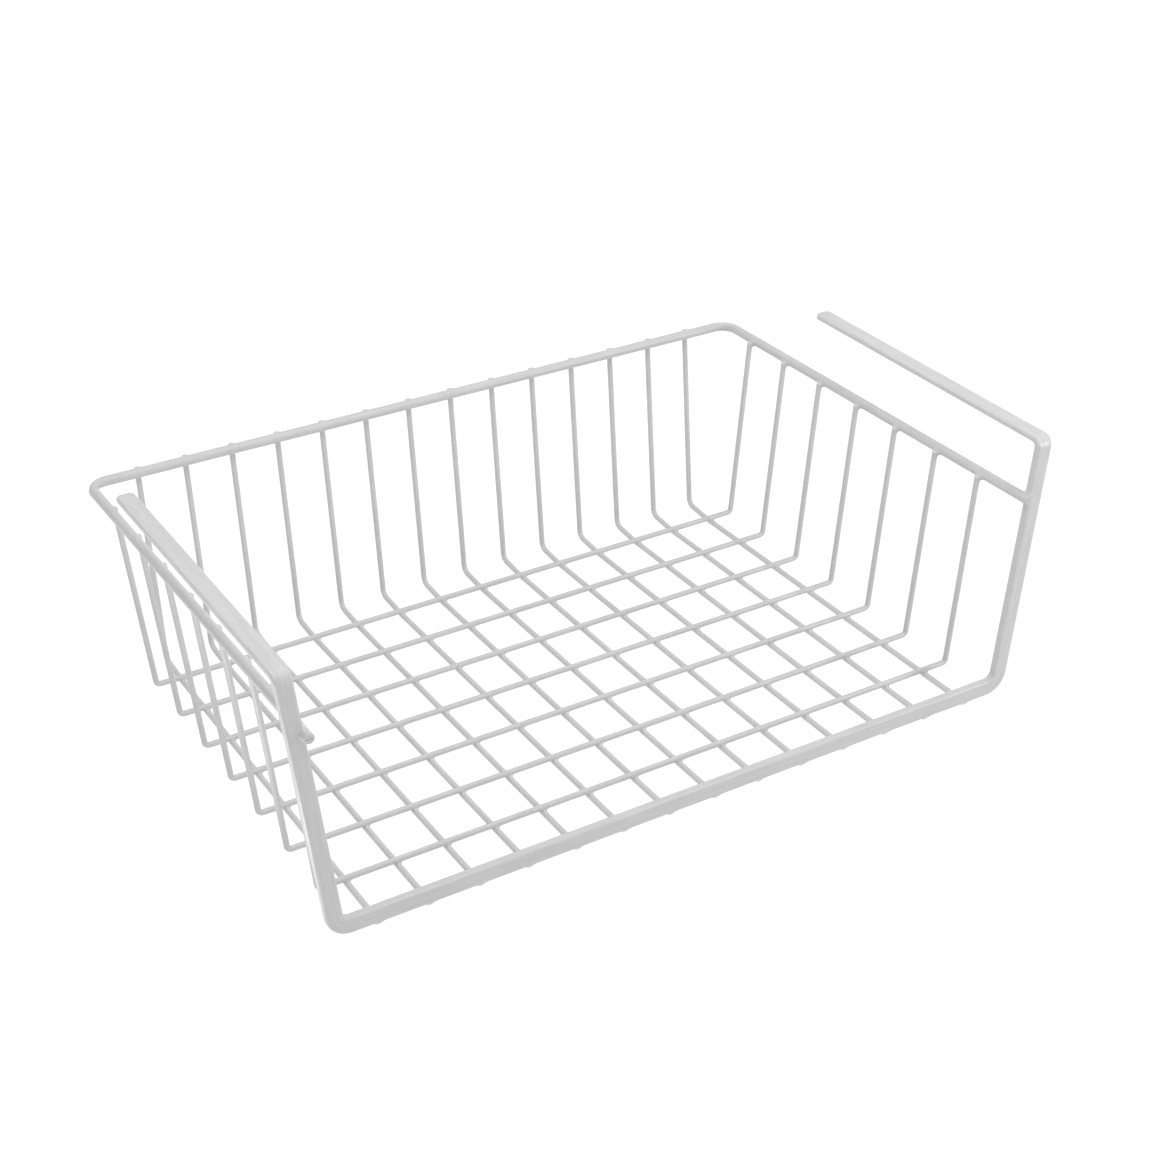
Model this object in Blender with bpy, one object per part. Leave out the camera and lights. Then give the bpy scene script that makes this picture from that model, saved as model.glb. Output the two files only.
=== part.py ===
"""Under-shelf wire basket, modelled piece by piece.

Metres, +Z up. The basket stands on its floor wires at z = 0, with x = 0 and y = 0 in the middle of
its overall box. The open front looks along -Y. The two arms at the top slide over a shelf board.
"""

from math import cos, pi, radians, sin, tan

import bmesh
import bpy
from mathutils import Quaternion, Vector

# Wire sizes
WIRE_DIAMETER = 0.0029
RIM_DIAMETER = 0.0050
WELD_GAP = 0.0003

# Floor grid
LONG_WIRE_COUNT = 14
LONG_WIRE_PITCH = 0.0250
CROSS_WIRE_COUNT = 7
CROSS_WIRE_PITCH = 0.0321
SIDE_MARGIN = 0.0137
REAR_MARGIN = 0.0215
FRONT_MARGIN = 0.0315

# Walls and rim
RIM_HEIGHT = 0.1088
SIDE_LEAN = radians(4.7)
REAR_LEAN = radians(5.4)
WIRE_BEND_INNER_RADIUS = 0.0038
RIM_CORNER_RADIUS = 0.0075
REAR_TIP_ABOVE_RIM = 0.0009
SIDE_TIP_BELOW_RIM = 0.0012
RIM_END_OVERHANG = 0.0017

# Hanger frame
ARM_WIDTH = 0.0088
ARM_THICKNESS = 0.0032
UPRIGHT_WIDTH = 0.0080
UPRIGHT_THICKNESS = 0.0042
BAR_WIDTH = 0.0072
BAR_THICKNESS = 0.0045
HANGER_EDGE_RADIUS = 0.0014
ARM_END_CORNER_RADIUS = 0.0022
ARM_LENGTH = 0.1730
ARM_RISE = radians(0.7)
SHELF_OPENING = 0.0254
UPRIGHT_LEAN = radians(6.1)
UPPER_BEND_INNER_RADIUS = 0.0017
LOWER_BEND_INNER_RADIUS = 0.0038
RIM_SEAT_DEPTH = 0.0026
LONG_WIRE_FRONT_RECESS = 0.0017

# Cut ends of the wires
WIRE_END_CHAMFER = 0.0003
RIM_END_CHAMFER = 0.0005
ARM_END_CHAMFER = 0.0006

# Coating, as sRGB greys, and its gloss
WIRE_GREY = 0.80
RIM_GREY = 0.80
HANGER_GREY = 0.82
COATING_ROUGHNESS = 0.38

# Facets
WIRE_SIDES = 12
RIM_SIDES = 16
SEAT_SIDES = 32
EDGE_STEPS = 4
ARM_CORNER_STEPS = 4
BEND_STEPS = 6
HANGER_BEND_STEPS = 8
RIM_CORNER_STEPS = 10
SMOOTH_ANGLE = radians(40)

# Places that follow from the sizes, in the basket's own frame: y = 0 is the rearmost cross wire
wire_radius = WIRE_DIAMETER / 2
rim_radius = RIM_DIAMETER / 2
long_wire_z = wire_radius
cross_wire_z = long_wire_z + WIRE_DIAMETER + WELD_GAP
bar_z = long_wire_z + wire_radius + WELD_GAP + BAR_WIDTH / 2
bar_y = -(CROSS_WIRE_COUNT - 1) * CROSS_WIRE_PITCH - FRONT_MARGIN
floor_half_width = (LONG_WIRE_COUNT - 1) / 2 * LONG_WIRE_PITCH + SIDE_MARGIN
wire_to_rim = wire_radius + WELD_GAP + rim_radius

side_wall_x_at_rim = floor_half_width + tan(SIDE_LEAN) * (RIM_HEIGHT - cross_wire_z)
rear_wall_y_at_rim = REAR_MARGIN + tan(REAR_LEAN) * (RIM_HEIGHT - long_wire_z)
rim_half_width = side_wall_x_at_rim + wire_to_rim / cos(SIDE_LEAN)
rim_back_y = rear_wall_y_at_rim - wire_to_rim / cos(REAR_LEAN)
rim_front_y = bar_y - UPRIGHT_THICKNESS / 2 - RIM_END_OVERHANG

seat_radius = rim_radius + WELD_GAP
upright_x_at_rim = rim_half_width + seat_radius - RIM_SEAT_DEPTH + UPRIGHT_WIDTH / 2
arm_z_at_bend = RIM_HEIGHT + rim_radius + SHELF_OPENING + ARM_THICKNESS / 2
bar_half_width = upright_x_at_rim - tan(UPRIGHT_LEAN) * (RIM_HEIGHT - bar_z)
arm_half_width = upright_x_at_rim + tan(UPRIGHT_LEAN) * (arm_z_at_bend - RIM_HEIGHT)

rear_tip_z = RIM_HEIGHT + REAR_TIP_ABOVE_RIM
rear_tip_y = REAR_MARGIN + tan(REAR_LEAN) * (rear_tip_z - long_wire_z)
front_face_y = rim_front_y
back_face_y = rear_tip_y + wire_radius * cos(REAR_LEAN)
middle_y = (front_face_y + back_face_y) / 2


def clear_scene():
    """Start from an empty scene."""
    for item in list(bpy.data.objects):
        bpy.data.objects.remove(item, do_unlink=True)


def linear_grey(srgb):
    """Scene-linear value of an sRGB grey between 0 and 1."""
    if srgb <= 0.04045:
        return srgb / 12.92
    return ((srgb + 0.055) / 1.055) ** 2.4


def coated_steel(name, srgb_grey):
    """Light grey coating over steel wire, as one plain surface."""
    material = bpy.data.materials.new(name)
    material.use_nodes = True
    shader = material.node_tree.nodes["Principled BSDF"]
    grey = linear_grey(srgb_grey)
    shader.inputs["Base Color"].default_value = (grey, grey, grey, 1.0)
    shader.inputs["Roughness"].default_value = COATING_ROUGHNESS
    shader.inputs["Metallic"].default_value = 0.0
    return material


def bent_path(corners, radii, steps):
    """Stations along a bent wire: straight runs, with an arc in place of each inner corner.

    A station is (point, tangent, turn). turn counts the bends passed: 0 on the first run, 1 on the
    second, and in between while the wire goes round the bend that joins them.
    """
    first_run = (corners[1] - corners[0]).normalized()
    stations = [(corners[0], first_run, 0.0)]
    for bend, radius in enumerate(radii):
        before, corner, after = corners[bend:bend + 3]
        incoming = (corner - before).normalized()
        outgoing = (after - corner).normalized()
        angle = incoming.angle(outgoing)
        axis = incoming.cross(outgoing).normalized()
        start = corner - incoming * radius * tan(angle / 2)
        centre = start + axis.cross(incoming) * radius
        for step in range(steps + 1):
            share = step / steps
            rotation = Quaternion(axis, angle * share)
            point = centre + rotation @ (start - centre)
            stations.append((point, rotation @ incoming, bend + share))
    last_run = (corners[-1] - corners[-2]).normalized()
    stations.append((corners[-1], last_run, float(len(radii))))
    return stations


def with_chamfered_ends(stations, chamfer):
    """Stations as (point, tangent, turn, inset), with a small bevel worked on both cut ends."""
    first_point, first_tangent, first_turn = stations[0]
    last_point, last_tangent, last_turn = stations[-1]
    first_shoulder = first_point + first_tangent * chamfer
    last_shoulder = last_point - last_tangent * chamfer
    inner = [(point, tangent, turn, 0.0) for point, tangent, turn in stations[1:-1]]
    return [
        (first_point, first_tangent, first_turn, chamfer),
        (first_shoulder, first_tangent, first_turn, 0.0),
        *inner,
        (last_shoulder, last_tangent, last_turn, 0.0),
        (last_point, last_tangent, last_turn, chamfer),
    ]


def with_rounded_corners(stations, corner_radius, chamfer):
    """Stations as (point, tangent, turn, (side inset, face inset)), the free ends rounded in plan."""
    first_point, first_tangent, first_turn = stations[0]
    last_point, last_tangent, last_turn = stations[-1]
    first_end = []
    last_end = []
    for step in range(ARM_CORNER_STEPS + 1):
        angle = step / ARM_CORNER_STEPS * pi / 2
        depth = corner_radius * (1 - cos(angle))
        inset = (corner_radius * (1 - sin(angle)), max(0.0, chamfer - depth))
        first_end.append((first_point + first_tangent * depth, first_tangent, first_turn, inset))
        last_end.append((last_point - last_tangent * depth, last_tangent, last_turn, inset))
    inner = [(point, tangent, turn, (0.0, 0.0)) for point, tangent, turn in stations[1:-1]]
    return [*first_end, *inner, *reversed(last_end)]


def circle_section(radius, sides):
    """Points of a round wire's cross-section."""
    angles = [2 * pi * side / sides for side in range(sides)]
    return [(radius * cos(angle), radius * sin(angle)) for angle in angles]


def rounded_rectangle(width, thickness, edge_radius):
    """Points of a pressed wire's cross-section, width along u and thickness along v."""
    points = []
    quadrants = ((1, 1, 0), (-1, 1, 1), (-1, -1, 2), (1, -1, 3))
    for sign_u, sign_v, quadrant in quadrants:
        centre_u = sign_u * (width / 2 - edge_radius)
        centre_v = sign_v * (thickness / 2 - edge_radius)
        for step in range(EDGE_STEPS + 1):
            angle = (quadrant + step / EDGE_STEPS) * pi / 2
            points.append((centre_u + edge_radius * cos(angle), centre_v + edge_radius * sin(angle)))
    return points


def swept_mesh(name, stations, face_direction, section):
    """Closed mesh of a section carried along stations.

    face_direction(turn) is the way that the section's v axis looks, and section(turn, inset) gives
    its points.
    """
    mesh_data = bmesh.new()
    previous = None
    for point, tangent, turn, inset in stations:
        across = face_direction(turn).cross(tangent).normalized()
        facing = tangent.cross(across)
        outline = section(turn, inset)
        ring = [mesh_data.verts.new(point + across * u + facing * v) for u, v in outline]
        if previous is None:
            mesh_data.faces.new(ring)
        else:
            for index, vertex in enumerate(ring):
                beside = (index + 1) % len(ring)
                mesh_data.faces.new((previous[index], previous[beside], ring[beside], vertex))
        previous = ring
    mesh_data.faces.new(previous)
    bmesh.ops.recalc_face_normals(mesh_data, faces=mesh_data.faces)
    mesh = bpy.data.meshes.new(name)
    mesh_data.to_mesh(mesh)
    mesh_data.free()
    mesh.shade_smooth()
    mesh.set_sharp_from_angle(angle=SMOOTH_ANGLE)
    return mesh


def round_wire_mesh(name, corners, bend_radius, steps, plane_normal, radius, sides, chamfer):
    """Mesh of a round wire that is bent in one plane, with the same radius at every bend."""
    bends = [bend_radius] * (len(corners) - 2)
    stations = with_chamfered_ends(bent_path(corners, bends, steps), chamfer)
    return swept_mesh(
        name,
        stations,
        face_direction=lambda turn: plane_normal,
        section=lambda turn, inset: circle_section(radius - inset, sides),
    )


def place(name, mesh, material, location, parent):
    """Put one named piece in the scene."""
    piece = bpy.data.objects.new(name, mesh)
    if not mesh.materials:
        mesh.materials.append(material)
    piece.parent = parent
    piece.location = location
    bpy.context.scene.collection.objects.link(piece)
    return piece


def add_long_wires(parent):
    """L-shaped wires: under the floor from the front bar, then up the back wall."""
    bend_radius = WIRE_BEND_INNER_RADIUS + wire_radius
    front_end_y = bar_y - BAR_THICKNESS / 2 + LONG_WIRE_FRONT_RECESS
    corners = [
        Vector((0.0, front_end_y, long_wire_z)),
        Vector((0.0, REAR_MARGIN, long_wire_z)),
        Vector((0.0, rear_tip_y, rear_tip_z)),
    ]
    mesh = round_wire_mesh(
        "long_wire", corners, bend_radius, BEND_STEPS, Vector((1, 0, 0)),
        wire_radius, WIRE_SIDES, WIRE_END_CHAMFER,
    )
    material = coated_steel("long_wire_coating", WIRE_GREY)
    for index in range(LONG_WIRE_COUNT):
        x = (index - (LONG_WIRE_COUNT - 1) / 2) * LONG_WIRE_PITCH
        place(f"long_wire_{index + 1}", mesh, material, (x, 0.0, 0.0), parent)


def add_cross_wires(parent):
    """U-shaped wires: down the left wall, over the long wires, up the right wall."""
    bend_radius = WIRE_BEND_INNER_RADIUS + wire_radius
    tip_z = RIM_HEIGHT - SIDE_TIP_BELOW_RIM
    tip_x = floor_half_width + tan(SIDE_LEAN) * (tip_z - cross_wire_z)
    corners = [
        Vector((-tip_x, 0.0, tip_z)),
        Vector((-floor_half_width, 0.0, cross_wire_z)),
        Vector((floor_half_width, 0.0, cross_wire_z)),
        Vector((tip_x, 0.0, tip_z)),
    ]
    mesh = round_wire_mesh(
        "cross_wire", corners, bend_radius, BEND_STEPS, Vector((0, 1, 0)),
        wire_radius, WIRE_SIDES, WIRE_END_CHAMFER,
    )
    material = coated_steel("cross_wire_coating", WIRE_GREY)
    for index in range(CROSS_WIRE_COUNT):
        y = (index - (CROSS_WIRE_COUNT - 1)) * CROSS_WIRE_PITCH
        place(f"cross_wire_{index + 1}", mesh, material, (0.0, y, 0.0), parent)


def add_rim_wire(parent):
    """The thicker wire round the top of the left, back and right walls."""
    corners = [
        Vector((-rim_half_width, rim_front_y, 0.0)),
        Vector((-rim_half_width, rim_back_y, 0.0)),
        Vector((rim_half_width, rim_back_y, 0.0)),
        Vector((rim_half_width, rim_front_y, 0.0)),
    ]
    mesh = round_wire_mesh(
        "rim_wire", corners, RIM_CORNER_RADIUS, RIM_CORNER_STEPS, Vector((0, 0, 1)),
        rim_radius, RIM_SIDES, RIM_END_CHAMFER,
    )
    material = coated_steel("rim_wire_coating", RIM_GREY)
    place("rim_wire", mesh, material, (0.0, 0.0, RIM_HEIGHT), parent)


def arm_share(turn):
    """1 on the two flat arms, 0 on the uprights and the bar, in between round the upper bends."""
    return max(0.0, 1.0 - turn, turn - 3.0)


def bar_share(turn):
    """1 on the front bar, 0 on the uprights and the arms, in between round the lower bends."""
    return max(0.0, 1.0 - abs(turn - 2.0))


def hanger_face_direction(turn):
    """The pressed face looks up on the arms and forward on the uprights and the bar."""
    angle = arm_share(turn) * pi / 2
    return Vector((0.0, -cos(angle), sin(angle)))


def hanger_section(turn, inset):
    """The hanger's cross-section: pressed flattest on the arms, and thickest along the bar."""
    side_inset, face_inset = inset
    on_arm = arm_share(turn)
    on_bar = bar_share(turn)
    on_upright = 1.0 - on_arm - on_bar
    width = ARM_WIDTH * on_arm + UPRIGHT_WIDTH * on_upright + BAR_WIDTH * on_bar
    thickness = ARM_THICKNESS * on_arm + UPRIGHT_THICKNESS * on_upright + BAR_THICKNESS * on_bar
    edge_radius = HANGER_EDGE_RADIUS - face_inset
    return rounded_rectangle(width - 2 * side_inset, thickness - 2 * face_inset, edge_radius)


def hanger_stations():
    """The hanger's centre line, from the left arm's free end round to the right arm's."""
    back = Vector((0.0, cos(ARM_RISE), sin(ARM_RISE))) * ARM_LENGTH
    left_top = Vector((-arm_half_width, 0.0, arm_z_at_bend))
    right_top = Vector((arm_half_width, 0.0, arm_z_at_bend))
    left_foot = Vector((-bar_half_width, 0.0, bar_z))
    right_foot = Vector((bar_half_width, 0.0, bar_z))
    corners = [left_top + back, left_top, left_foot, right_foot, right_top, right_top + back]
    upper_radius = UPPER_BEND_INNER_RADIUS + UPRIGHT_THICKNESS / 2
    lower_radius = LOWER_BEND_INNER_RADIUS + UPRIGHT_WIDTH / 2
    radii = [upper_radius, lower_radius, lower_radius, upper_radius]
    return bent_path(corners, radii, HANGER_BEND_STEPS)


def add_seat_cutter(parent, side):
    """Round cutter, lying where the rim wire's end sinks into one upright."""
    reach = Vector((0.0, UPRIGHT_THICKNESS, 0.0))
    stations = [(-reach, Vector((0, 1, 0)), 0.0, 0.0), (reach, Vector((0, 1, 0)), 0.0, 0.0)]
    mesh = swept_mesh(
        "rim_seat_cutter",
        stations,
        face_direction=lambda turn: Vector((0, 0, 1)),
        section=lambda turn, inset: circle_section(seat_radius, SEAT_SIDES),
    )
    cutter = bpy.data.objects.new("rim_seat_cutter", mesh)
    cutter.parent = parent
    cutter.location = (side * rim_half_width, bar_y, RIM_HEIGHT)
    cutter.display_type = "WIRE"
    cutter.hide_render = True
    bpy.context.scene.collection.objects.link(cutter)
    return cutter


def add_hanger_frame(parent):
    """Arms, uprights and front bar in one bent wire, with a weld seat for each end of the rim."""
    stations = with_rounded_corners(hanger_stations(), ARM_END_CORNER_RADIUS, ARM_END_CHAMFER)
    mesh = swept_mesh("hanger_frame", stations, hanger_face_direction, hanger_section)
    material = coated_steel("hanger_frame_coating", HANGER_GREY)
    hanger = place("hanger_frame", mesh, material, (0.0, bar_y, 0.0), parent)
    for side in (-1, 1):
        seat = hanger.modifiers.new("rim_seat", "BOOLEAN")
        seat.operation = "DIFFERENCE"
        seat.solver = "EXACT"
        seat.object = add_seat_cutter(parent, side)


def build():
    """Model the whole basket."""
    clear_scene()
    basket = bpy.data.objects.new("basket", None)
    basket.location = (0.0, -middle_y, 0.0)
    bpy.context.scene.collection.objects.link(basket)
    add_long_wires(basket)
    add_cross_wires(basket)
    add_rim_wire(basket)
    add_hanger_frame(basket)


build()
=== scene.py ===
"""Under-shelf wire basket, dressed for its picture.

Metres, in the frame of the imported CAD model. Each wire is drawn again as a smooth mesh, close to the
centre line of its CAD node, with rounded cut ends, and with the coating run into a fillet at every weld.
"""

from math import cos, pi, radians, sin, tan

import bpy
import numpy as np
from mathutils import Matrix, Quaternion, Vector


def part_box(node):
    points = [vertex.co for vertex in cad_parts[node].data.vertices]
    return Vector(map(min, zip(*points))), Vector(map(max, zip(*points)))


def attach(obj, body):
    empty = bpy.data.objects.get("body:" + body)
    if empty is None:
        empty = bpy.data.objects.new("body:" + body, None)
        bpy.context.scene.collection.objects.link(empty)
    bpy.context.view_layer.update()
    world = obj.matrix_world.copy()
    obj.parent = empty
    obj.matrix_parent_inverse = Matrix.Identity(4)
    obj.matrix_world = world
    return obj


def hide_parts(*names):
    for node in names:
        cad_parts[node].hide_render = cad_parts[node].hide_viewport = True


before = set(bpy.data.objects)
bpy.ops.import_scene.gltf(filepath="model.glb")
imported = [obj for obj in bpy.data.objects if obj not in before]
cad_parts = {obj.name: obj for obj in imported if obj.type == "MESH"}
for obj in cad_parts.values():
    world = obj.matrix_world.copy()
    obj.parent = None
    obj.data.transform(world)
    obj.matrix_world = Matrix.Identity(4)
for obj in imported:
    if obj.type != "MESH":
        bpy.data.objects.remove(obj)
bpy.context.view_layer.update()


def middle_of(node):
    """Middle of a CAD node's box."""
    low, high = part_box(node)
    return (low + high) / 2


# The basket's sizes, as in the CAD model. A margin is the length of floor past the last wire
WIRE_DIAMETER = 0.0029
RIM_DIAMETER = 0.0050
LONG_WIRE_COUNT = 14
CROSS_WIRE_COUNT = 7
SIDE_MARGIN = 0.0137
REAR_MARGIN = 0.0215
SIDE_LEAN = radians(4.7)
REAR_LEAN = radians(5.4)
RIM_END_OVERHANG = 0.0017
ARM_WIDTH = 0.0088
ARM_THICKNESS = 0.0032
UPRIGHT_WIDTH = 0.0080
UPRIGHT_THICKNESS = 0.0042
BAR_WIDTH = 0.0072
BAR_THICKNESS = 0.0045
ARM_RISE = radians(0.7)
UPRIGHT_LEAN = radians(6.1)
UPPER_BEND_INNER_RADIUS = 0.0017
LOWER_BEND_INNER_RADIUS = 0.0038

# Bends, corners and tips as the photograph shows them. They differ from those of the CAD model by up to
# 3 mm. The tips are measured from the middle of the rim wire
LONG_WIRE_BEND_INNER_RADIUS = 0.0032
CROSS_WIRE_BEND_INNER_RADIUS = 0.0010
RIM_CORNER_RADIUS = 0.0090
ARM_END_CORNER_RADIUS = 0.0026
REAR_TIP_ABOVE_RIM = 0.0014
SIDE_TIP_BELOW_RIM = 0.0008

# How far the wires are moved together at the welds. The CAD model keeps them 0.3 mm apart. The bar keeps
# its top edge and is made deeper instead, towards the long wires below it
FLOOR_PRESS = 0.0007
REAR_RIM_PRESS = 0.0006
SIDE_RIM_PRESS = 0.0012
BAR_PRESS = 0.0008

# The wires were cut by eye: the left end of the rim wire a little long and the right end flush with its
# upright, the left arm a little short and the right arm long, the long wires short at the front
LEFT_RIM_END_EXTRA = 0.0021
RIGHT_RIM_END_EXTRA = -0.0016
LEFT_ARM_EXTRA = -0.0016
RIGHT_ARM_EXTRA = 0.0016
LONG_WIRE_EXTRA = -0.0002

# The bending left the long wires rising a little from behind the last cross wire to their rear corner,
# which also stands further back than in the CAD model
REAR_RISE_START = 0.0035
REAR_CORNER_RISE = 0.0016
REAR_CORNER_SET_BACK = 0.0007

# Rounding of edges and cut ends under the coating. FULLEST_EDGE_SHARE is the most that the radius of the
# hanger's edges may be, as a share of its thickness or width
HANGER_EDGE_RADIUS = 0.0011
FULLEST_EDGE_SHARE = 0.47
WIRE_END_ROUNDING = 0.0007
RIM_END_ROUNDING = 0.0007
ARM_END_ROUNDING = 0.0009

# Shallow flutes that the pressing left along the flat faces of the hanger
FLUTE_DEPTH = 0.00006
FLUTE_PITCH = 0.0031

# How much thinner the rim wire is, seen from above, where it was bent round its tight rear corners
RIM_CORNER_THINNING = 0.2

# How wide the metal and the coating run together at a weld, and the most that a wire swells there, as a
# share of that width. FULL_WELD_SWELL is the swelling at which the coat counts as pooled
FLOOR_FILLET = 0.0018
RIM_FILLET = 0.0026
BAR_FILLET = 0.0030
SEAT_FILLET = 0.0022
LARGEST_SWELL_SHARE = 0.4
FULL_WELD_SWELL = 0.0003

# How the welding presses the front ends of the long wires: wider and flatter
PRESSED_END_LENGTH = 0.0045
PRESSED_END_WIDENING = 0.35
PRESSED_END_FLATTENING = 0.18

# Crease that the nippers left across the ends of the rim wire
CREASE_DEPTH = 0.0005
CREASE_HALF_WIDTH = 0.0004

# Fineness of the meshes. Weld rings are the close rings of points that let a wire swell at a weld. Face
# rings are those on a cut end, more of them where the end has a crease, and INNERMOST_FACE_RING is how
# far towards the middle of the end they go
WIRE_SIDES = 24
RIM_SIDES = 40
EDGE_STEPS = 6
FLAT_STEPS = 12
BEND_STEPS = 18
HANGER_BEND_STEPS = 24
RIM_CORNER_STEPS = 32
END_STEPS = 5
PLAIN_FACE_RINGS = 3
CREASED_FACE_RINGS = 9
INNERMOST_FACE_RING = 0.93
WELD_RING_STEP = 0.00035
WELD_RING_REACH = 0.0042
SHORTEST_RINGED_RUN = 4 * WELD_RING_STEP
SEAT_WELD_REACH = 0.004
SETTLE_STEPS = 14

# Places that follow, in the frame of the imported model
wire_radius = WIRE_DIAMETER / 2
rim_radius = RIM_DIAMETER / 2
long_wire_names = [f"long_wire_{index + 1}" for index in range(LONG_WIRE_COUNT)]
cross_wire_names = [f"cross_wire_{index + 1}" for index in range(CROSS_WIRE_COUNT)]
long_wire_x = [middle_of(name).x for name in long_wire_names]
cross_wire_y = [middle_of(name).y for name in cross_wire_names]
long_wire_front_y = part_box("long_wire_1")[0].y - LONG_WIRE_EXTRA
long_wire_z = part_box("long_wire_1")[0].z + wire_radius
cross_wire_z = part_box("cross_wire_1")[0].z + wire_radius - FLOOR_PRESS
rear_corner_y = cross_wire_y[-1] + REAR_MARGIN
floor_half_width = long_wire_x[-1] + SIDE_MARGIN

rim_z = middle_of("rim_wire").z
rim_half_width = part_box("rim_wire")[1].x - rim_radius
rim_back_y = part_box("rim_wire")[1].y - rim_radius
rim_front_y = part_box("rim_wire")[0].y
rear_tip_z = rim_z + REAR_TIP_ABOVE_RIM
rear_tip_y = rear_corner_y + tan(REAR_LEAN) * (rear_tip_z - long_wire_z) - REAR_RIM_PRESS
side_tip_z = rim_z - SIDE_TIP_BELOW_RIM
side_tip_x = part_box("cross_wire_1")[1].x - wire_radius * cos(SIDE_LEAN) + SIDE_RIM_PRESS

bar_y = rim_front_y + RIM_END_OVERHANG + UPRIGHT_THICKNESS / 2
bar_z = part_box("hanger_frame")[0].z + BAR_WIDTH / 2 - BAR_PRESS / 2
bar_depth = BAR_WIDTH + BAR_PRESS
arm_end_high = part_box("hanger_frame")[1]
arm_end_y = arm_end_high.y
arm_half_width = arm_end_high.x - ARM_WIDTH / 2
arm_end_z = arm_end_high.z - ARM_THICKNESS / 2
arm_z_at_bend = arm_end_z - tan(ARM_RISE) * (arm_end_y - bar_y)
bar_half_width = arm_half_width - tan(UPRIGHT_LEAN) * (arm_z_at_bend - bar_z)
upright_x_at_rim = arm_half_width - tan(UPRIGHT_LEAN) * (arm_z_at_bend - rim_z)


def bent_path(corners, radii, steps):
    """Stations along a bent wire, (point, tangent, turn), with an arc in place of each inner corner.

    turn counts the bends passed, and lies in between while the wire goes round a bend.
    """
    first_run = (corners[1] - corners[0]).normalized()
    stations = [(corners[0], first_run, 0.0)]
    for bend, radius in enumerate(radii):
        before, corner, after = corners[bend:bend + 3]
        incoming = (corner - before).normalized()
        outgoing = (after - corner).normalized()
        angle = incoming.angle(outgoing)
        axis = incoming.cross(outgoing).normalized()
        start = corner - incoming * radius * tan(angle / 2)
        centre = start + axis.cross(incoming) * radius
        for step in range(steps + 1):
            share = step / steps
            rotation = Quaternion(axis, angle * share)
            stations.append((centre + rotation @ (start - centre), rotation @ incoming, bend + share))
    last_run = (corners[-1] - corners[-2]).normalized()
    stations.append((corners[-1], last_run, float(len(radii))))
    return stations


def with_weld_rings(stations, weld_places):
    """The stations, with close rings added on the straight runs round each weld."""
    count = int(WELD_RING_REACH / WELD_RING_STEP)
    offsets = [step * WELD_RING_STEP for step in range(-count, count + 1)]
    closer = [stations[0]]
    for here, after in zip(stations, stations[1:]):
        run = after[0] - here[0]
        straight = run.length > SHORTEST_RINGED_RUN and here[2] == after[2]
        marks = set()
        for place in weld_places if straight else ():
            nearest = (place - here[0]).dot(run.normalized())
            aside = (place - here[0] - run.normalized() * nearest).length
            if aside < WELD_RING_REACH + rim_radius:
                marks.update(round((nearest + offset) / WELD_RING_STEP) for offset in offsets)
        for mark in sorted(marks):
            distance = mark * WELD_RING_STEP
            if WELD_RING_STEP < distance < run.length - WELD_RING_STEP:
                closer.append((here[0] + run.normalized() * distance, here[1], here[2]))
        closer.append(after)
    return closer


def end_profile(corner, rounding, half_width, half_thickness, face_rings=PLAIN_FACE_RINGS):
    """Rings of one cut end as (set back, inset across, inset through), from its middle outwards."""
    rings = []
    for ring in range(face_rings):
        share = INNERMOST_FACE_RING * (1 - ring / face_rings)
        across = corner + share * (half_width - corner)
        through = rounding + share * (half_thickness - rounding)
        rings.append((0.0, across, through))
    for step in range(END_STEPS + 1):
        angle = (1 - step / END_STEPS) * pi / 2
        back = corner * (1 - sin(angle))
        left = max(0.0, rounding - back)
        rings.append((back, corner * (1 - cos(angle)), rounding - (rounding ** 2 - left ** 2) ** 0.5))
    return rings


def with_rounded_ends(stations, profile):
    """Stations as (point, tangent, turn, inset across, inset through), with both cut ends rounded."""
    depth = profile[-1][0]
    first, last = stations[0], stations[-1]
    rounded = []
    for back, across, through in profile:
        rounded.append((first[0] + first[1] * back, *first[1:], across, through))
    for point, tangent, turn in stations[1:-1]:
        if (point - first[0]).length > depth and (point - last[0]).length > depth:
            rounded.append((point, tangent, turn, 0.0, 0.0))
    for back, across, through in reversed(profile):
        rounded.append((last[0] - last[1] * back, *last[1:], across, through))
    return rounded


def circle_section(radius, sides):
    """Points of a round wire's cross-section."""
    angles = np.arange(sides) * 2 * pi / sides
    return np.stack((radius * np.cos(angles), radius * np.sin(angles)), 1)


def pressed_section(width, thickness, edge):
    """Points of a pressed wire's cross-section, width along u and thickness along v."""
    corners = []
    for quadrant, (sign_u, sign_v) in enumerate(((1, 1), (-1, 1), (-1, -1), (1, -1))):
        centre = (sign_u * (width / 2 - edge), sign_v * (thickness / 2 - edge))
        angles = (quadrant + np.arange(EDGE_STEPS + 1) / EDGE_STEPS) * pi / 2
        corners.append(np.array(centre) + edge * np.stack((np.cos(angles), np.sin(angles)), 1))
    points = []
    for corner, following in zip(corners, corners[1:] + corners[:1]):
        points.append(corner)
        shares = np.arange(1, FLAT_STEPS)[:, None] / FLAT_STEPS
        points.append(corner[-1] + (following[0] - corner[-1]) * shares)
    points = np.concatenate(points)
    waves = FLUTE_DEPTH * (1 + np.cos(2 * pi * points[:, 0] / FLUTE_PITCH)) / 2
    points[:, 1] -= np.sign(points[:, 1]) * waves
    return points


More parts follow.
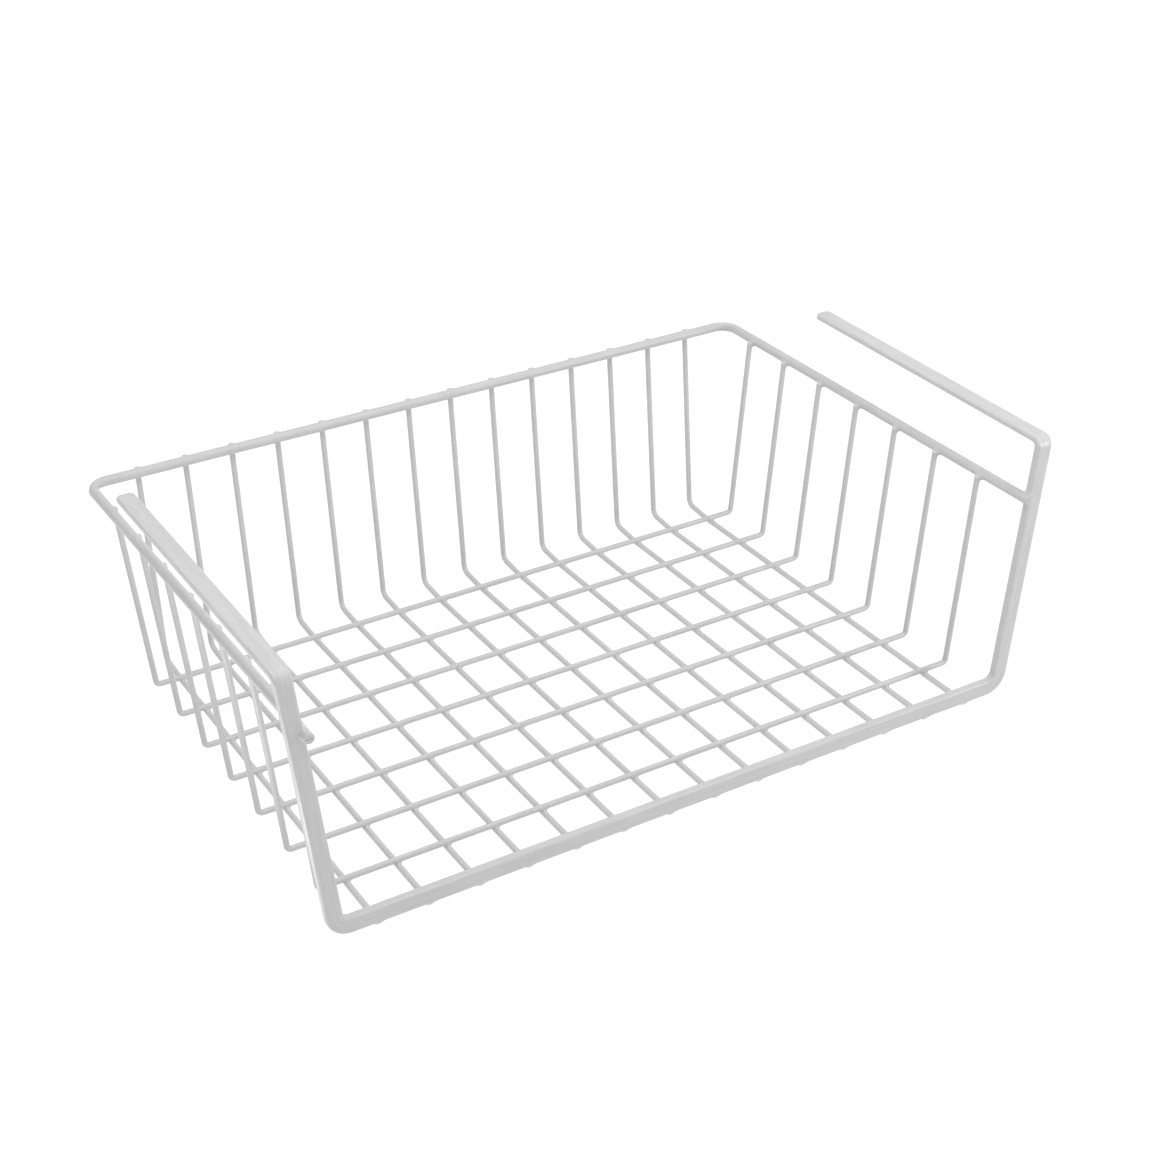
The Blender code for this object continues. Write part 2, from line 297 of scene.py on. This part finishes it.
def swept_mesh(name, stations, facing_at, section_at):
    """Closed mesh of a section carried along stations.

    Each point keeps its place in the wire, (across, through, along), for the grain of the coating.
    """
    rings, places = [], []
    travelled, previous = 0.0, stations[0][0]
    for point, tangent, turn, across_inset, through_inset in stations:
        across = facing_at(turn).cross(tangent).normalized()
        facing = tangent.cross(across)
        section = section_at(turn, across_inset, through_inset)
        sideways = section[:, :1] * np.array(across)
        rings.append(np.array(point) + sideways + section[:, 1:] * np.array(facing))
        travelled += (point - previous).length
        previous = point
        places.append(np.column_stack((section, np.full(len(section), travelled))))
    sides = len(rings[0])
    corner = np.arange(sides)
    beside = np.roll(corner, -1)
    strips = [
        np.stack((ring + corner, ring + beside, ring + sides + beside, ring + sides + corner), 1)
        for ring in range(0, (len(rings) - 1) * sides, sides)
    ]
    faces = np.concatenate(strips).tolist()
    faces.append(corner[::-1].tolist())
    faces.append((corner + (len(rings) - 1) * sides).tolist())
    mesh = bpy.data.meshes.new(name)
    mesh.from_pydata(np.concatenate(rings).tolist(), [], faces)
    mesh.attributes.new("wire_place", "FLOAT_VECTOR", "POINT")
    mesh.attributes["wire_place"].data.foreach_set("vector", np.concatenate(places).ravel())
    mesh.shade_smooth()
    return mesh


def from_round_wire(start, end, radius, rounding):
    """Function that gives how far points lie from a straight stretch of round wire."""
    start, end = np.array(start), np.array(end)
    half = np.linalg.norm(end - start) / 2
    direction = (end - start) / (2 * half)
    middle = (start + end) / 2

    def distance(points):
        along = (points - middle) @ direction
        radial = np.linalg.norm(points - middle - along[:, None] * direction, axis=1)
        outside = np.stack((radial - radius + rounding, np.abs(along) - half + rounding), 1)
        corner = np.linalg.norm(np.maximum(outside, 0), axis=1)
        return corner + np.minimum(outside.max(1), 0) - rounding

    return distance


def from_pressed_bar(place, across, facing, width, thickness, edge):
    """Function that gives how far points lie from a long pressed bar."""
    place, across, facing = (np.array(vector) for vector in (place, across, facing))

    def distance(points):
        inside = np.stack((np.abs((points - place) @ across), np.abs((points - place) @ facing)), 1)
        outside = inside - np.array((width / 2 - edge, thickness / 2 - edge))
        corner = np.linalg.norm(np.maximum(outside, 0), axis=1)
        return corner + np.minimum(outside.max(1), 0) - edge

    return distance


def points_of(mesh):
    """Places of a mesh's points, one row each."""
    points = np.empty(len(mesh.vertices) * 3)
    mesh.vertices.foreach_get("co", points)
    return points.reshape(-1, 3)


def move_points(mesh, points):
    """Put a mesh's points in new places."""
    mesh.vertices.foreach_set("co", points.ravel())
    mesh.update()


def run_into_welds(mesh, neighbours):
    """Swell a mesh towards its neighbours, so that the two meet in a smooth fillet.

    neighbours is a list of (distance function, fillet width). A point moves out along its normal to
    where the two wires' distances, blended over the fillet's width, come to nothing.
    """
    points = points_of(mesh)
    normals = np.empty(len(mesh.vertices) * 3)
    mesh.vertex_normals.foreach_get("vector", normals)
    normals = normals.reshape(-1, 3)
    swell = np.zeros(len(points))
    for distance, fillet in neighbours:
        near = np.flatnonzero(distance(points) < fillet)
        grown = np.zeros(len(near))
        for _ in range(SETTLE_STEPS):
            other = distance(points[near] + normals[near] * grown[:, None])
            overlap = np.maximum(fillet - np.abs(grown - other), 0) / fillet
            blended = np.minimum(grown, other) - overlap ** 2 * fillet / 4
            grown = np.clip(grown - blended, 0, fillet * LARGEST_SWELL_SHARE)
        swell[near] = np.maximum(swell[near], grown)
    mesh.attributes.new("weld", "FLOAT", "POINT")
    mesh.attributes["weld"].data.foreach_set("value", np.clip(swell / FULL_WELD_SWELL, 0, 1))
    move_points(mesh, points + normals * swell[:, None])


def add_piece(node, mesh, material):
    """Put a piece in the place of its CAD node, riding on the basket's one body."""
    piece = bpy.data.objects.new(f"coated_{node}", mesh)
    mesh.materials.append(material)
    bpy.context.scene.collection.objects.link(piece)
    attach(piece, "root")
    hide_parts(node)


def add_node(tree, kind, values=None, links=None, **settings):
    """Add one node with its settings, the values of its sockets and the links into them."""
    node = tree.nodes.new(kind)
    for name, value in settings.items():
        setattr(node, name, value)
    for socket, value in (values or {}).items():
        node.inputs[socket].default_value = value
    for socket, source in (links or {}).items():
        tree.links.new(source, node.inputs[socket])
    return node


def linear(hex_colour):
    """Linear colour of an sRGB hex value."""
    channels = [int(hex_colour[start:start + 2], 16) / 255 for start in (1, 3, 5)]
    turned = [c / 12.92 if c <= 0.04045 else ((c + 0.055) / 1.055) ** 2.4 for c in channels]
    return (*turned, 1.0)


# Powder coat of grey polyester, sprayed on dry and melted in an oven. Real sizes: the coat is thicker
# and thinner in clouds of about 12 mm, and its skin has the shallow waves of about 1.6 mm that are
# called orange peel. The drawing marks of the steel below it are finer than 0.1 mm, so they are drawn
# coarser, 1.1 mm apart and 24 mm long, to show at all. The shade follows the sum of the marks' noise and
# CLOUD_SHARE of the clouds', and the roughness follows the peel's noise, each over the range given here.
# A cured polyester has an IOR of about 1.5
CLOUD_SIZE = 0.012
CLOUD_DETAIL = 3.0
CLOUD_SHARE = 0.5
DARKEST_SHADE = 0.5
LIGHTEST_SHADE = 1.0
PEEL_SIZE = 0.0016
PEEL_HEIGHT = 0.000003
PEEL_NOISE_LOW = 0.3
PEEL_NOISE_HIGH = 0.7
FINE_DETAIL = 1.0
DRAWING_MARK_WIDTH = 0.0011
DRAWING_MARK_LENGTH = 0.024
DRAWING_MARK_HEIGHT = 0.000003
SATIN_ROUGHNESS_LOW = 0.27
SATIN_ROUGHNESS_HIGH = 0.34
WELD_GLOSS = 0.06
POLYESTER_IOR = 1.5

# Greys of the coat, light and dark, each matched to its wires in the photograph. Each pair is the range
# over which the coat's random clouds and drawing marks vary. The real coat is one grey on every wire: the
# small differences between the kinds of wire are painted light and shade, lightest on the long wires and
# darkest on the rim wire
LONG_WIRE_GREYS = ("#C2C2C2", "#BABABA")
CROSS_WIRE_GREYS = ("#C0C0C0", "#B8B8B8")
RIM_WIRE_GREYS = ("#BEBEBE", "#B6B6B6")
HANGER_GREYS = ("#C1C1C1", "#B9B9B9")


def powder_coated_steel(name, light, dark):
    """Drawn steel wire under a powder coat.

    To the eye it is one even light grey, satin, with broad dull highlights that waver a little. It is
    faintly streaked along the wire, and slightly glossier where the coat has pooled round a weld.
    """
    material = bpy.data.materials.new(name)
    material.use_nodes = True
    tree = material.node_tree
    tree.nodes.clear()
    place = add_node(tree, "ShaderNodeTexCoord").outputs["Object"]
    wire_place = add_node(tree, "ShaderNodeAttribute", attribute_name="wire_place").outputs["Vector"]
    weld = add_node(tree, "ShaderNodeAttribute", attribute_name="weld").outputs["Fac"]
    cloud = add_node(
        tree, "ShaderNodeTexNoise",
        {"Scale": 1 / CLOUD_SIZE, "Detail": CLOUD_DETAIL}, {"Vector": place},
    )
    peel = add_node(
        tree, "ShaderNodeTexNoise",
        {"Scale": 1 / PEEL_SIZE, "Detail": FINE_DETAIL}, {"Vector": place},
    )
    grain_place = add_node(
        tree, "ShaderNodeVectorMath",
        {1: (1 / DRAWING_MARK_WIDTH, 1 / DRAWING_MARK_WIDTH, 1 / DRAWING_MARK_LENGTH)}, {0: wire_place},
        operation="MULTIPLY",
    )
    grain = add_node(
        tree, "ShaderNodeTexNoise",
        {"Scale": 1.0, "Detail": FINE_DETAIL}, {"Vector": grain_place.outputs["Vector"]},
    )
    shade = add_node(
        tree, "ShaderNodeMath",
        {1: CLOUD_SHARE}, {0: cloud.outputs["Fac"], 2: grain.outputs["Fac"]}, operation="MULTIPLY_ADD",
    )
    shade_range = add_node(
        tree, "ShaderNodeMapRange",
        {"From Min": DARKEST_SHADE, "From Max": LIGHTEST_SHADE}, {"Value": shade.outputs["Value"]},
    )
    colour = add_node(
        tree, "ShaderNodeMix",
        {6: linear(dark), 7: linear(light)}, {0: shade_range.outputs["Result"]}, data_type="RGBA",
    )
    roughness = add_node(
        tree, "ShaderNodeMapRange",
        {
            "From Min": PEEL_NOISE_LOW, "From Max": PEEL_NOISE_HIGH,
            "To Min": SATIN_ROUGHNESS_LOW, "To Max": SATIN_ROUGHNESS_HIGH,
        },
        {"Value": peel.outputs["Fac"]},
    )
    glossier = add_node(
        tree, "ShaderNodeMath",
        {1: -WELD_GLOSS}, {0: weld, 2: roughness.outputs["Result"]}, operation="MULTIPLY_ADD",
    )
    grain_bump = add_node(
        tree, "ShaderNodeBump",
        {"Strength": 1.0, "Distance": DRAWING_MARK_HEIGHT}, {"Height": grain.outputs["Fac"]},
    )
    peel_bump = add_node(
        tree, "ShaderNodeBump",
        {"Strength": 1.0, "Distance": PEEL_HEIGHT},
        {"Height": peel.outputs["Fac"], "Normal": grain_bump.outputs["Normal"]},
    )
    shader = add_node(
        tree, "ShaderNodeBsdfPrincipled",
        {"IOR": POLYESTER_IOR, "Metallic": 0.0},
        {
            "Base Color": colour.outputs[2],
            "Roughness": glossier.outputs["Value"],
            "Normal": peel_bump.outputs["Normal"],
        },
    )
    add_node(tree, "ShaderNodeOutputMaterial", {}, {"Surface": shader.outputs["BSDF"]})
    return material


def round_wire_mesh(
    name, corners, bend_radius, steps, plane_normal, radius, sides, profile, welds, thinning=0.0,
):
    """Mesh of a round wire that is bent in one plane, with the same radius at every bend.

    thinning is the share of its width that the wire loses in the middle of a bend.
    """

    def section_at(turn, across, through):
        section = circle_section(radius - across, sides)
        section[:, 0] *= 1 - thinning * sin(pi * (turn % 1.0))
        return section

    stations = bent_path(corners, [bend_radius] * (len(corners) - 2), steps)
    stations = with_rounded_ends(with_weld_rings(stations, welds), profile)
    return swept_mesh(name, stations, lambda turn: plane_normal, section_at)


def long_wire_corners(x):
    """Front end, start of the rise, rear corner and tip of the long wire at x."""
    return [
        Vector((x, long_wire_front_y, long_wire_z)),
        Vector((x, cross_wire_y[-1] + REAR_RISE_START, long_wire_z)),
        Vector((x, rear_corner_y + REAR_CORNER_SET_BACK, long_wire_z + REAR_CORNER_RISE)),
        Vector((x, rear_tip_y, rear_tip_z)),
    ]


def cross_wire_corners(y):
    """Left tip, the two floor corners and the right tip of the cross wire at y."""
    return [
        Vector((-side_tip_x, y, side_tip_z)),
        Vector((-floor_half_width, y, cross_wire_z)),
        Vector((floor_half_width, y, cross_wire_z)),
        Vector((side_tip_x, y, side_tip_z)),
    ]


def rim_corners():
    """The rim wire's ends and rear corners, from the left end round to the right."""
    return [
        Vector((-rim_half_width, rim_front_y - LEFT_RIM_END_EXTRA, rim_z)),
        Vector((-rim_half_width, rim_back_y, rim_z)),
        Vector((rim_half_width, rim_back_y, rim_z)),
        Vector((rim_half_width, rim_front_y - RIGHT_RIM_END_EXTRA, rim_z)),
    ]


def hanger_corners():
    """The hanger's ends and bends, from the left arm's free end round to the right arm's."""
    return [
        Vector((-arm_half_width, arm_end_y + LEFT_ARM_EXTRA, arm_end_z)),
        Vector((-arm_half_width, bar_y, arm_z_at_bend)),
        Vector((-bar_half_width, bar_y, bar_z)),
        Vector((bar_half_width, bar_y, bar_z)),
        Vector((arm_half_width, bar_y, arm_z_at_bend)),
        Vector((arm_half_width, arm_end_y + RIGHT_ARM_EXTRA, arm_end_z)),
    ]


# Bends that the hanger has passed when it comes to each of its runs
LEFT_UPRIGHT_TURN, BAR_TURN, RIGHT_UPRIGHT_TURN = 1.0, 2.0, 3.0


def arm_share(turn):
    """1 on the two flat arms, 0 on the uprights and the bar, in between round the upper bends."""
    return max(0.0, LEFT_UPRIGHT_TURN - turn, turn - RIGHT_UPRIGHT_TURN)


def hanger_facing(turn):
    """The pressed face looks up on the arms and forward on the uprights and the bar."""
    angle = arm_share(turn) * pi / 2
    return Vector((0.0, -cos(angle), sin(angle)))


def hanger_section(turn, across, through):
    """Cross-section of the hanger, pressed flattest on the arms and thickest along the bar."""
    on_arm = arm_share(turn)
    on_bar = max(0.0, 1.0 - abs(turn - BAR_TURN))
    on_upright = 1.0 - on_arm - on_bar
    width = ARM_WIDTH * on_arm + UPRIGHT_WIDTH * on_upright + bar_depth * on_bar
    width -= 2 * across
    thickness = ARM_THICKNESS * on_arm + UPRIGHT_THICKNESS * on_upright + BAR_THICKNESS * on_bar
    thickness -= 2 * through
    fullest_edge = FULLEST_EDGE_SHARE * min(thickness, width)
    return pressed_section(width, thickness, min(HANGER_EDGE_RADIUS, fullest_edge))


def wire_runs(corners, radius, rounding):
    """Distance functions of a round wire's straight runs."""
    return [from_round_wire(start, end, radius, rounding) for start, end in zip(corners, corners[1:])]


def crease_rim_ends(mesh):
    """Press a level crease into each cut end of the rim wire, as nippers leave it."""
    points = points_of(mesh)
    for side, extra in ((-1, LEFT_RIM_END_EXTRA), (1, RIGHT_RIM_END_EXTRA)):
        back = np.clip((points[:, 1] - rim_front_y + extra) / (2 * CREASE_DEPTH), 0, 1)
        level = np.exp(-((points[:, 2] - rim_z) / CREASE_HALF_WIDTH) ** 2)
        points[:, 1] += CREASE_DEPTH * level * (1 - back) * (side * points[:, 0] > 0)
    move_points(mesh, points)


def press_front_end(mesh, x):
    """Squash the front end of a long wire under the bar, as the welding electrode does.

    The squashing comes on smoothly over half its length.
    """
    points = points_of(mesh)
    share = (long_wire_front_y + PRESSED_END_LENGTH - points[:, 1]) / (PRESSED_END_LENGTH / 2)
    share = np.clip(share, 0, 1)
    share = share * share * (3 - 2 * share)
    points[:, 0] += (points[:, 0] - x) * PRESSED_END_WIDENING * share
    points[:, 2] -= (points[:, 2] - long_wire_z) * PRESSED_END_FLATTENING * share
    move_points(mesh, points)


# Shape of the round wires' cut ends
wire_end = end_profile(WIRE_END_ROUNDING, WIRE_END_ROUNDING, wire_radius, wire_radius)
rim_end = end_profile(RIM_END_ROUNDING, RIM_END_ROUNDING, rim_radius, rim_radius, CREASED_FACE_RINGS)

# Neighbours at the welds. The runs of a cross wire are the left wall, the floor and the right wall, and
# those of a long wire the floor, the rise at its rear and the back wall
cross_wire_runs = [wire_runs(cross_wire_corners(y), wire_radius, WIRE_END_ROUNDING) for y in cross_wire_y]
long_wire_runs = [wire_runs(long_wire_corners(x), wire_radius, WIRE_END_ROUNDING) for x in long_wire_x]
left_rim, back_rim, right_rim = wire_runs(rim_corners(), rim_radius, RIM_END_ROUNDING)
front_bar = from_pressed_bar(
    (0, bar_y, bar_z), (0, 0, 1), (0, 1, 0), bar_depth, BAR_THICKNESS, HANGER_EDGE_RADIUS,
)
uprights = [
    from_pressed_bar(
        (side * upright_x_at_rim, bar_y, rim_z),
        (cos(UPRIGHT_LEAN), 0, -side * sin(UPRIGHT_LEAN)), (0, 1, 0),
        UPRIGHT_WIDTH, UPRIGHT_THICKNESS, HANGER_EDGE_RADIUS,
    )
    for side in (-1, 1)
]


def add_long_wires():
    """L-shaped wires: from below the front bar along the floor, then up the back wall."""
    material = powder_coated_steel("powder_coated_long_wire", *LONG_WIRE_GREYS)
    neighbours = [(floor_run, FLOOR_FILLET) for _, floor_run, _ in cross_wire_runs]
    neighbours.append((back_rim, RIM_FILLET))
    neighbours.append((front_bar, BAR_FILLET))
    for name, x in zip(long_wire_names, long_wire_x):
        welds = [Vector((x, y, long_wire_z)) for y in (*cross_wire_y, bar_y)]
        welds.append(Vector((x, rim_back_y, rim_z)))
        mesh = round_wire_mesh(
            name, long_wire_corners(x), LONG_WIRE_BEND_INNER_RADIUS + wire_radius, BEND_STEPS,
            Vector((1, 0, 0)), wire_radius, WIRE_SIDES, wire_end, welds,
        )
        press_front_end(mesh, x)
        run_into_welds(mesh, neighbours)
        add_piece(name, mesh, material)


def add_cross_wires():
    """U-shaped wires: down the left wall, over the long wires, up the right wall."""
    material = powder_coated_steel("powder_coated_cross_wire", *CROSS_WIRE_GREYS)
    neighbours = [(floor_run, FLOOR_FILLET) for floor_run, _, _ in long_wire_runs]
    neighbours += [(left_rim, RIM_FILLET), (right_rim, RIM_FILLET)]
    for name, y in zip(cross_wire_names, cross_wire_y):
        welds = [Vector((x, y, cross_wire_z)) for x in long_wire_x]
        welds += [Vector((side * rim_half_width, y, rim_z)) for side in (-1, 1)]
        mesh = round_wire_mesh(
            name, cross_wire_corners(y), CROSS_WIRE_BEND_INNER_RADIUS + wire_radius, BEND_STEPS,
            Vector((0, 1, 0)), wire_radius, WIRE_SIDES, wire_end, welds,
        )
        run_into_welds(mesh, neighbours)
        add_piece(name, mesh, material)


def add_rim_wire():
    """The thicker wire round the top of the left, back and right walls."""
    material = powder_coated_steel("powder_coated_rim_wire", *RIM_WIRE_GREYS)
    neighbours = [(back_wall_run, RIM_FILLET) for _, _, back_wall_run in long_wire_runs]
    for left_wall_run, _, right_wall_run in cross_wire_runs:
        neighbours += [(left_wall_run, RIM_FILLET), (right_wall_run, RIM_FILLET)]
    neighbours += [(upright, SEAT_FILLET) for upright in uprights]
    welds = [Vector((x, rim_back_y, rim_z)) for x in long_wire_x]
    side_weld_y = [*cross_wire_y, bar_y, bar_y + SEAT_WELD_REACH]
    for side in (-1, 1):
        welds += [Vector((side * rim_half_width, y, rim_z)) for y in side_weld_y]
    mesh = round_wire_mesh(
        "rim_wire", rim_corners(), RIM_CORNER_RADIUS, RIM_CORNER_STEPS,
        Vector((0, 0, 1)), rim_radius, RIM_SIDES, rim_end, welds, RIM_CORNER_THINNING,
    )
    run_into_welds(mesh, neighbours)
    crease_rim_ends(mesh)
    add_piece("rim_wire", mesh, material)


def add_hanger_frame():
    """Arms, uprights and front bar in one bent wire, pressed flat along the arms and the uprights."""
    material = powder_coated_steel("powder_coated_pressed_hanger", *HANGER_GREYS)
    upper_radius = UPPER_BEND_INNER_RADIUS + UPRIGHT_THICKNESS / 2
    lower_radius = LOWER_BEND_INNER_RADIUS + UPRIGHT_WIDTH / 2
    radii = [upper_radius, lower_radius, lower_radius, upper_radius]
    stations = bent_path(hanger_corners(), radii, HANGER_BEND_STEPS)
    welds = [Vector((x, bar_y, long_wire_z)) for x in long_wire_x]
    seat_weld_z = [rim_z - SEAT_WELD_REACH, rim_z, rim_z + SEAT_WELD_REACH]
    for side in (-1, 1):
        welds += [Vector((side * rim_half_width, bar_y, z)) for z in seat_weld_z]
    stations = with_weld_rings(stations, welds)
    profile = end_profile(
        ARM_END_CORNER_RADIUS, ARM_END_ROUNDING, ARM_WIDTH / 2, ARM_THICKNESS / 2,
    )
    stations = with_rounded_ends(stations, profile)
    mesh = swept_mesh("hanger_frame", stations, hanger_facing, hanger_section)
    neighbours = [(floor_run, BAR_FILLET) for floor_run, _, _ in long_wire_runs]
    neighbours += [(left_rim, SEAT_FILLET), (right_rim, SEAT_FILLET)]
    run_into_welds(mesh, neighbours)
    add_piece("hanger_frame", mesh, material)


add_long_wires()
add_cross_wires()
add_rim_wire()
add_hanger_frame()


# Light table of opal acrylic, a milky sheet lit from below. To the eye it is an even white ground on
# which no shadow shows, and it throws soft light on the undersides of the wires
FLOOR_SIZE = 60.0
OPAL_ACRYLIC = "#707070"
TABLE_LIGHT_COLOUR = "#FFFFFF"
TABLE_LIGHT_STRENGTH = 0.9
OPAL_ROUGHNESS = 0.9
OPAL_SPECULAR = 0.1


def add_floor():
    """Light table, which runs on past the edges of the picture."""
    half = FLOOR_SIZE / 2
    corners = [(-half, -half, 0), (half, -half, 0), (half, half, 0), (-half, half, 0)]
    mesh = bpy.data.meshes.new("studio_floor")
    mesh.from_pydata(corners, [], [(0, 1, 2, 3)])
    floor = bpy.data.objects.new("studio_floor", mesh)
    bpy.context.scene.collection.objects.link(floor)
    material = bpy.data.materials.new("opal_acrylic_light_table")
    material.use_nodes = True
    shader = material.node_tree.nodes["Principled BSDF"]
    shader.inputs["Base Color"].default_value = linear(OPAL_ACRYLIC)
    shader.inputs["Roughness"].default_value = OPAL_ROUGHNESS
    shader.inputs["Specular IOR Level"].default_value = OPAL_SPECULAR
    shader.inputs["Emission Color"].default_value = linear(TABLE_LIGHT_COLOUR)
    shader.inputs["Emission Strength"].default_value = TABLE_LIGHT_STRENGTH
    mesh.materials.append(material)


# Lights. A large softbox hangs above the front of the basket, and a narrow one at its front right puts
# the highlight on the right upper bend. A strip of the table next to the left upright shines more
# strongly, for the bright line down that upright's edge
OVERHEAD_PLACE = (0.03, -0.12, 0.8)
OVERHEAD_TARGET = (0.03, -0.12, 0.0)
OVERHEAD_SIZE = 0.7
OVERHEAD_POWER = 4.4
FRONT_RIGHT_PLACE = (0.57, -0.59, 0.29)
FRONT_RIGHT_TARGET = (0.19, -0.12, 0.1)
FRONT_RIGHT_WIDTH = 0.09
FRONT_RIGHT_HEIGHT = 0.3
FRONT_RIGHT_POWER = 1.1
TABLE_STRIP_START = (-0.235, -0.112, 0.001)
TABLE_STRIP_END = (-0.42, -0.098, 0.001)
TABLE_STRIP_WIDTH = 0.030
TABLE_STRIP_POWER = 0.19
ROOM_LIGHT = 0.66


def add_area_light(name, place, rotation, width, height, power):
    """Rectangular light, which the camera doesn't see."""
    data = bpy.data.lights.new(name, "AREA")
    data.shape = "RECTANGLE"
    data.size = width
    data.size_y = height
    data.energy = power
    light = bpy.data.objects.new(name, data)
    light.visible_camera = False
    light.location = place
    light.rotation_euler = rotation
    bpy.context.scene.collection.objects.link(light)
    return light


def add_softbox(name, place, target, width, height, power):
    """Softbox at place, looking at target."""
    rotation = (Vector(target) - Vector(place)).to_track_quat("-Z", "Y").to_euler()
    return add_area_light(name, place, rotation, width, height, power)


def add_table_strip(name, start, end, width, power):
    """Lit strip in the table top, from start to end, which shines upwards."""
    start, end = Vector(start), Vector(end)
    run = end - start
    rotation = (pi, 0.0, run.to_2d().angle_signed(Vector((1.0, 0.0))))
    return add_area_light(name, (start + end) / 2, rotation, run.length, width, power)


def add_lights():
    """Softboxes and table strip.

    The overhead softbox isn't reflected in the gloss, where it would whiten the top of every wire.
    """
    overhead = add_softbox(
        "overhead_softbox", OVERHEAD_PLACE, OVERHEAD_TARGET, OVERHEAD_SIZE, OVERHEAD_SIZE, OVERHEAD_POWER,
    )
    overhead.visible_glossy = False
    add_table_strip(
        "left_table_strip", TABLE_STRIP_START, TABLE_STRIP_END, TABLE_STRIP_WIDTH, TABLE_STRIP_POWER,
    )
    add_softbox(
        "front_right_softbox", FRONT_RIGHT_PLACE, FRONT_RIGHT_TARGET,
        FRONT_RIGHT_WIDTH, FRONT_RIGHT_HEIGHT, FRONT_RIGHT_POWER,
    )


def add_room():
    """White room, which lights the basket evenly from all sides."""
    world = bpy.data.worlds.new("studio_room")
    world.use_nodes = True
    background = world.node_tree.nodes["Background"]
    background.inputs["Color"].default_value = linear("#FFFFFF")
    background.inputs["Strength"].default_value = ROOM_LIGHT
    bpy.context.scene.world = world
    bpy.context.scene.view_settings.view_transform = "Standard"


add_floor()
add_lights()
add_room()

# Camera, at the viewing angle of the photograph
CAMERA_PLACE = Vector((-0.44473, -0.76809, 0.57035))
CAMERA_TURN = radians(-30.9324)
CAMERA_TILT = radians(29.9445)
CAMERA_ROLL = radians(-0.4354)
CAMERA_LENS = 64.117
CAMERA_SENSOR_WIDTH = 36.0


def add_camera():
    """Camera that looks down on the basket from the front left."""
    data = bpy.data.cameras.new("photo_camera")
    data.lens = CAMERA_LENS
    data.sensor_width = CAMERA_SENSOR_WIDTH
    camera = bpy.data.objects.new("photo_camera", data)
    turn = Matrix.Rotation(CAMERA_TURN, 4, "Z")
    tilt = Matrix.Rotation(pi / 2 - CAMERA_TILT, 4, "X")
    roll = Matrix.Rotation(CAMERA_ROLL, 4, "Z")
    camera.matrix_world = Matrix.Translation(CAMERA_PLACE) @ turn @ tilt @ roll
    bpy.context.scene.collection.objects.link(camera)
    bpy.context.scene.camera = camera


add_camera()
